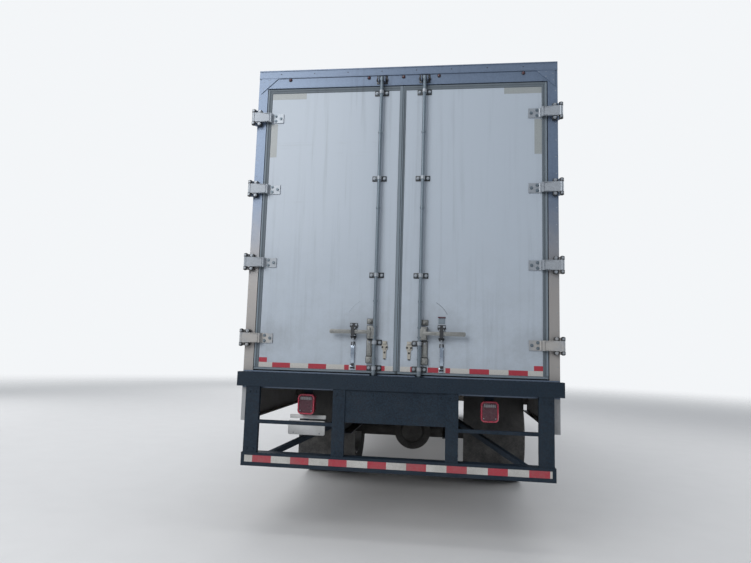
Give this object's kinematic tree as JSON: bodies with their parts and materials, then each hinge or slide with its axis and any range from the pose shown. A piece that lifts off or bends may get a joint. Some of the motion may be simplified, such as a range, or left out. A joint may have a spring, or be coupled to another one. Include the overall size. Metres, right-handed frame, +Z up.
{
  "type": "box truck",
  "caption": "Bonneted box truck with a hollow van body, twin swinging rear doors, tilting hood, opening cab doors, steering and rolling wheels.",
  "frame": {"origin": "on the ground, under the middle of the overall length and width", "axes": "+Y to the front of the truck, +X to its right side, +Z up"},
  "size_m": [2.57, 8.99, 3.7199],
  "materials": {
    "chassis_black": "black chassis paint, dusty",
    "cast_black": "dark castings with road dust",
    "cab_white": "white cab paint",
    "plastic_dark": "dark grained plastic",
    "exhaust_steel": "heat-stained steel",
    "tank_metal": "satin aluminium",
    "tread_metal": "dull aluminium",
    "window_glass": "clear glass",
    "seat_fabric": "grey seat cloth",
    "floor_wood": "oiled hardwood boards",
    "panel_white": "white composite panel",
    "door_white": "white composite door skin, dusty",
    "roof_metal": "weathered sheet",
    "frame_steel": "galvanised frame",
    "guard_black": "worn black paint",
    "lamp_red": "red lens",
    "lamp_clear": "clear lens",
    "flap_rubber": "black rubber",
    "grille_dark": "dark grille",
    "hardware": "zinc-plated steel",
    "wheel_white": "white wheel paint",
    "tyre_black": "black tread rubber"
  },
  "bodies": {
    "chassis": {"chassis_rails": "chassis_black", "cross_members": "chassis_black", "front_bumper": "cab_white", "front_axle": "cast_black", "rear_axle": "cast_black", "leaf_springs": "cast_black", "engine_block": "cast_black", "radiator": "plastic_dark", "driveline": "cast_black", "exhaust": "exhaust_steel", "fuel_tank": "tank_metal", "battery_box": "plastic_dark", "cab_steps": "tread_metal", "cab_shell": "cab_white", "cab_glass": "window_glass", "cab_interior": "seat_fabric", "box_floor": "floor_wood", "floor_bearers": "chassis_black", "body_sills": "chassis_black", "box_sides": "panel_white", "box_front_wall": "panel_white", "box_roof": "roof_metal", "rear_frame": "frame_steel", "underride_guard": "guard_black", "tail_lamps": "lamp_red", "mud_flaps": "flap_rubber", "side_skirts": "tread_metal"},
    "hood": {"hood": "cab_white", "grille": "grille_dark", "headlamps": "lamp_clear"},
    "tie_rod": {"tie_rod": "cast_black"},
    "steering_wheel": {"steering_wheel": "plastic_dark"},
    "cab_door_left": {"cab_door_left": "cab_white", "door_glass_left": "window_glass"},
    "rear_door_left": {"rear_door_left": "door_white", "hinge_straps_left": "hardware", "lock_gear_left": "hardware"},
    "knuckle_left": {"knuckle_left": "cast_black"},
    "front_wheel_left": {"front_wheel_left": "wheel_white", "front_tyre_left": "tyre_black"},
    "rear_wheels_left": {"rear_wheels_left": "wheel_white", "rear_tyres_left": "tyre_black"},
    "cab_door_right": {"cab_door_right": "cab_white", "door_glass_right": "window_glass"},
    "rear_door_right": {"rear_door_right": "door_white", "hinge_straps_right": "hardware", "lock_gear_right": "hardware"},
    "knuckle_right": {"knuckle_right": "cast_black"},
    "front_wheel_right": {"front_wheel_right": "wheel_white", "front_tyre_right": "tyre_black"},
    "rear_wheels_right": {"rear_wheels_right": "wheel_white", "rear_tyres_right": "tyre_black"}
  },
  "joints": [
    {"name": "hood_tilt", "type": "hinge", "parent": "chassis", "child": "hood", "pos_m": [0, 4.345, 0.745], "axis": [-1, 0, 0], "range_deg": [0, 70]},
    {"name": "cab_door_left", "type": "hinge", "parent": "chassis", "child": "cab_door_left", "pos_m": [-1.032, 2.765, 1.6], "axis": [0, 0, -1], "range_deg": [0, 70]},
    {"name": "rear_door_left", "type": "hinge", "parent": "chassis", "child": "rear_door_left", "pos_m": [-1.235, -4.47, 2.4], "axis": [0, 0, -1], "range_deg": [0, 265]},
    {"name": "steer_left", "type": "hinge", "parent": "chassis", "child": "knuckle_left", "pos_m": [-0.89, 3.475, 0.5], "axis": [0, 0, 1], "range_deg": [-32, 32]},
    {"name": "front_wheel_left", "type": "hinge", "parent": "knuckle_left", "child": "front_wheel_left", "pos_m": [-0.985, 3.475, 0.5], "axis": [-1, 0, 0], "continuous": true},
    {"name": "rear_wheels_left", "type": "hinge", "parent": "chassis", "child": "rear_wheels_left", "pos_m": [-0.92, -2.035, 0.5], "axis": [-1, 0, 0], "continuous": true},
    {"name": "cab_door_right", "type": "hinge", "parent": "chassis", "child": "cab_door_right", "pos_m": [1.032, 2.765, 1.6], "axis": [0, 0, 1], "range_deg": [0, 70]},
    {"name": "rear_door_right", "type": "hinge", "parent": "chassis", "child": "rear_door_right", "pos_m": [1.235, -4.47, 2.4], "axis": [0, 0, 1], "range_deg": [0, 265]},
    {"name": "steer_right", "type": "hinge", "parent": "chassis", "child": "knuckle_right", "pos_m": [0.89, 3.475, 0.5], "axis": [0, 0, 1], "range_deg": [-32, 32]},
    {"name": "front_wheel_right", "type": "hinge", "parent": "knuckle_right", "child": "front_wheel_right", "pos_m": [0.985, 3.475, 0.5], "axis": [-1, 0, 0], "continuous": true},
    {"name": "rear_wheels_right", "type": "hinge", "parent": "chassis", "child": "rear_wheels_right", "pos_m": [0.92, -2.035, 0.5], "axis": [-1, 0, 0], "continuous": true},
    {"name": "tie_rod", "type": "hinge", "parent": "knuckle_left", "child": "tie_rod", "pos_m": [-0.89, 3.295, 0.434], "axis": [0, 0, 1], "range_deg": [-32, 32]},
    {"name": "steering_wheel", "type": "hinge", "parent": "chassis", "child": "steering_wheel", "pos_m": [-0.47, 2.615, 1.65], "axis": [0, -0.7234, 0.6905], "range_deg": [-448, 448]}
  ],
  "couplings": [
    {"joint": "steer_right", "follows": "steer_left", "ratio": 1},
    {"joint": "tie_rod", "follows": "steer_left", "ratio": -1},
    {"joint": "steering_wheel", "follows": "steer_left", "ratio": 14}
  ]
}
